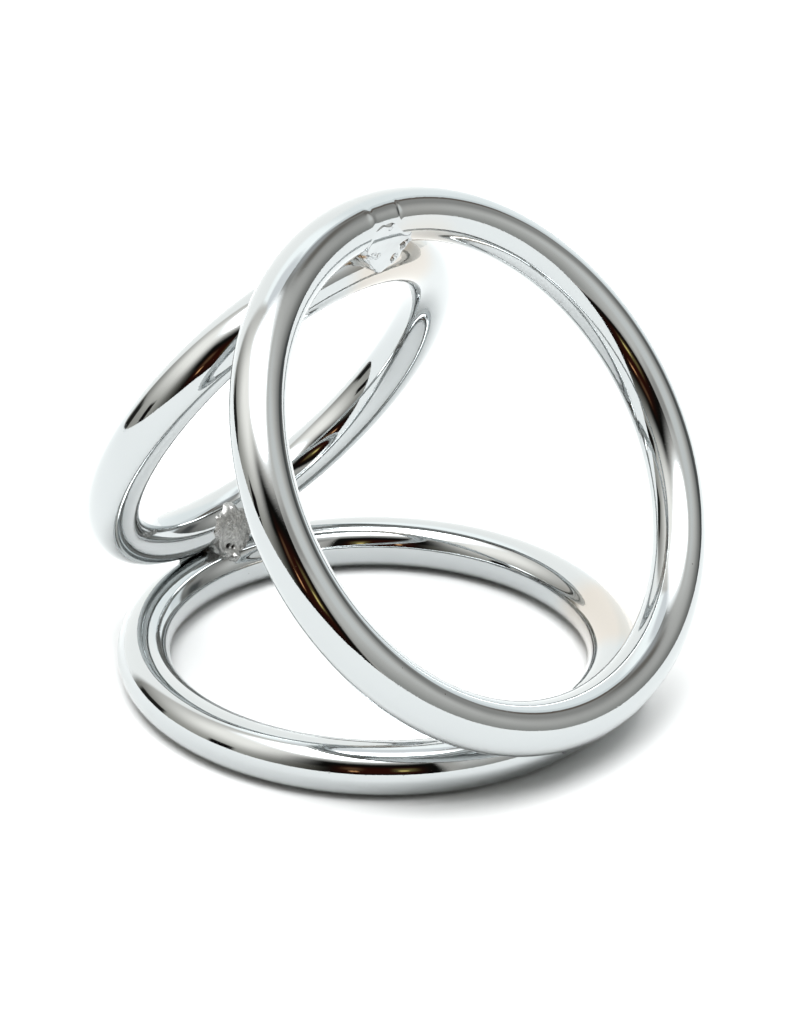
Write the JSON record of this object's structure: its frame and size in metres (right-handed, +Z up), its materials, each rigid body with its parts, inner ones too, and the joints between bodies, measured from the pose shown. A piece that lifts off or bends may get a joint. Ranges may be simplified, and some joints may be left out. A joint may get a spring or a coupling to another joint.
{
  "type": "welded triple ring",
  "caption": "Rigid body-worn accessory of polished chromed round bar: rings of unequal diameter welded rim to rim in a triangle that stands on one ring.",
  "frame": {"origin": "middle of the footprint, on the floor under the base ring", "axes": "+Z up; +X from the small ring's foot towards the large ring's foot; the bars run along Y where they are welded"},
  "size_m": [0.0636, 0.0624, 0.0553],
  "materials": {
    "chromed_bar": "mirror polish with faint hand-polishing waves",
    "seam_weld": "ground and polished butt weld, slightly duller than the bar",
    "bead_weld": "plated weld bead, soft lumps, pinholes at its ends",
    "rough_weld": "unpolished granular grey weld"
  },
  "bodies": {
    "root": {"base_ring": "chromed_bar", "base_ring_seam_weld": "seam_weld", "small_ring": "chromed_bar", "small_ring_seam_weld": "seam_weld", "large_ring": "chromed_bar", "large_ring_seam_weld": "seam_weld", "base_small_inner_bead": "rough_weld", "base_small_outer_bead": "bead_weld", "base_large_inner_bead": "bead_weld", "base_large_outer_bead": "bead_weld", "small_large_inner_bead": "bead_weld", "small_large_outer_bead": "bead_weld"}
  },
  "joints": []
}
